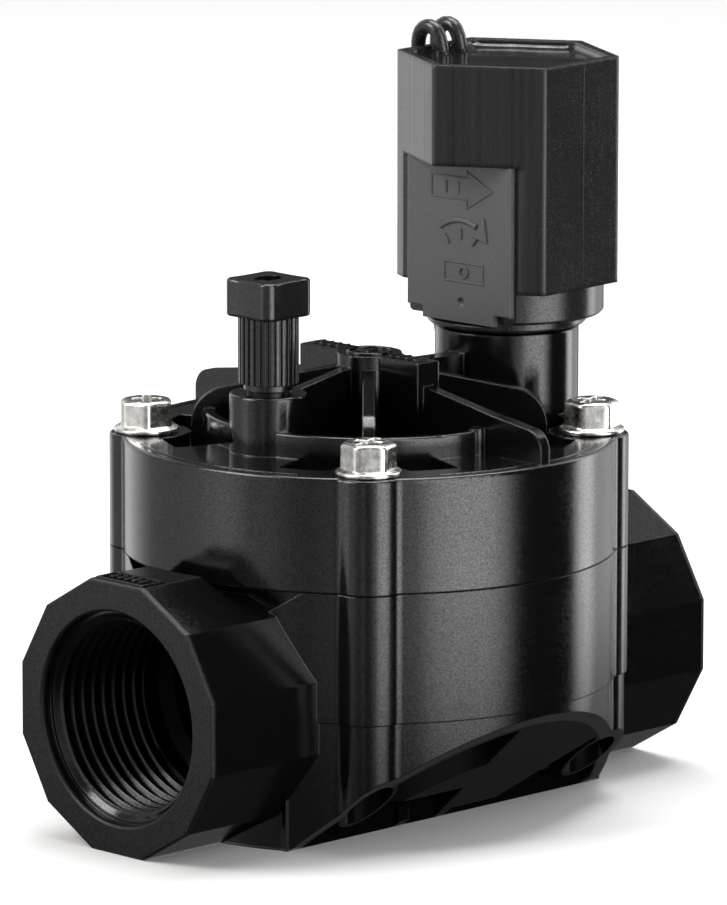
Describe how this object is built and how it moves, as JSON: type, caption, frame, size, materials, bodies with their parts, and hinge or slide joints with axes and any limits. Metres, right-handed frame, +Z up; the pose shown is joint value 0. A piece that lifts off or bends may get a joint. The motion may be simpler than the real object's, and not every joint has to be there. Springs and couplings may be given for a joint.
{
  "type": "solenoid valve",
  "caption": "Globe-pattern diaphragm irrigation valve: threaded inlet and outlet, ribbed bonnet, manual bleed screw, quarter-turn solenoid with two leads.",
  "frame": {"origin": "on the floor under the centre of the valve body, on the vertical axis of the diaphragm", "axes": "+X along the flow, from the inlet at -X to the outlet at +X; +Z up, along the bleed screw and the solenoid"},
  "size_m": [0.111, 0.1004, 0.121],
  "materials": {
    "body_plastic": "black glass-filled nylon, satin, with a fine mottled grain",
    "solenoid_plastic": "black moulded nylon, satin",
    "potting_resin": "black epoxy, glossy",
    "zinc_steel": "bright zinc plate, slightly worn",
    "handle_plastic": "black moulded plastic, satin",
    "diaphragm_rubber": "black nitrile rubber",
    "support_plastic": "natural acetal",
    "stainless_steel": "stainless steel",
    "frame_steel": "plated low-carbon steel",
    "copper": "copper",
    "lead_insulation": "black PVC insulation"
  },
  "bodies": {
    "housing": {"valve_body": "body_plastic", "bonnet": "body_plastic", "bonnet_screws": "zinc_steel", "lead_run_a": "lead_insulation", "lead_run_b": "lead_insulation", "lead_coil_a": "lead_insulation", "lead_coil_b": "lead_insulation", "lead_tip_a": "copper", "lead_tip_b": "copper", "diaphragm_spring": "stainless_steel"},
    "diaphragm_group": {"diaphragm": "diaphragm_rubber", "seat_washer": "diaphragm_rubber", "diaphragm_support": "support_plastic", "washer_retainer": "support_plastic", "diaphragm_screw": "stainless_steel", "diaphragm_filter": "support_plastic"},
    "bleed_ring": {"bleed_o_ring": "diaphragm_rubber"},
    "bleed": {"bleed_screw": "handle_plastic"},
    "solenoid_ring": {"solenoid_o_ring": "diaphragm_rubber"},
    "solenoid": {"solenoid_can": "solenoid_plastic", "label_panel": "solenoid_plastic", "solenoid_collar": "solenoid_plastic", "potting": "potting_resin", "core_tube": "stainless_steel", "pole_piece": "stainless_steel", "shading_ring": "copper", "coil_bobbin": "support_plastic", "coil_winding": "copper", "flux_frame": "frame_steel", "lead_arch_a": "lead_insulation", "lead_arch_b": "lead_insulation", "plunger_spring": "stainless_steel"},
    "plunger_group": {"plunger": "stainless_steel", "plunger_seal": "diaphragm_rubber"}
  },
  "joints": [
    {"name": "diaphragm_lift", "type": "slide", "parent": "housing", "child": "diaphragm_group", "axis": [0, 0, 1], "range_m": [0, 0.005], "stiffness_N_per_m": 500, "springref_m": -0.006, "deforming": ["diaphragm", "diaphragm_spring"]},
    {"name": "bleed_lift", "type": "slide", "parent": "housing", "child": "bleed_ring", "axis": [0, 0, 1], "range_m": [0, 0.0015]},
    {"name": "bleed_turn", "type": "hinge", "parent": "bleed_ring", "child": "bleed", "pos_m": [-0.0223, 0, 0.065], "axis": [0, 0, 1], "range_deg": [0, 361]},
    {"name": "solenoid_turn", "type": "hinge", "parent": "housing", "child": "solenoid_ring", "pos_m": [0.0313, 0, 0.0665], "axis": [0, 0, 1], "range_deg": [0, 90.5]},
    {"name": "solenoid_lift", "type": "slide", "parent": "solenoid_ring", "child": "solenoid", "axis": [0, 0, 1], "range_m": [0, 0.0006]},
    {"name": "plunger_slide", "type": "slide", "parent": "solenoid", "child": "plunger_group", "axis": [0, 0, 1], "range_m": [0, 0.0013], "stiffness_N_per_m": 300, "springref_m": -0.003, "deforming": ["plunger_spring"]}
  ],
  "couplings": [
    {"joint": "bleed_turn", "follows": "bleed_lift", "rad_per_m": 4188.8},
    {"joint": "solenoid_turn", "follows": "solenoid_lift", "rad_per_m": 2618}
  ]
}
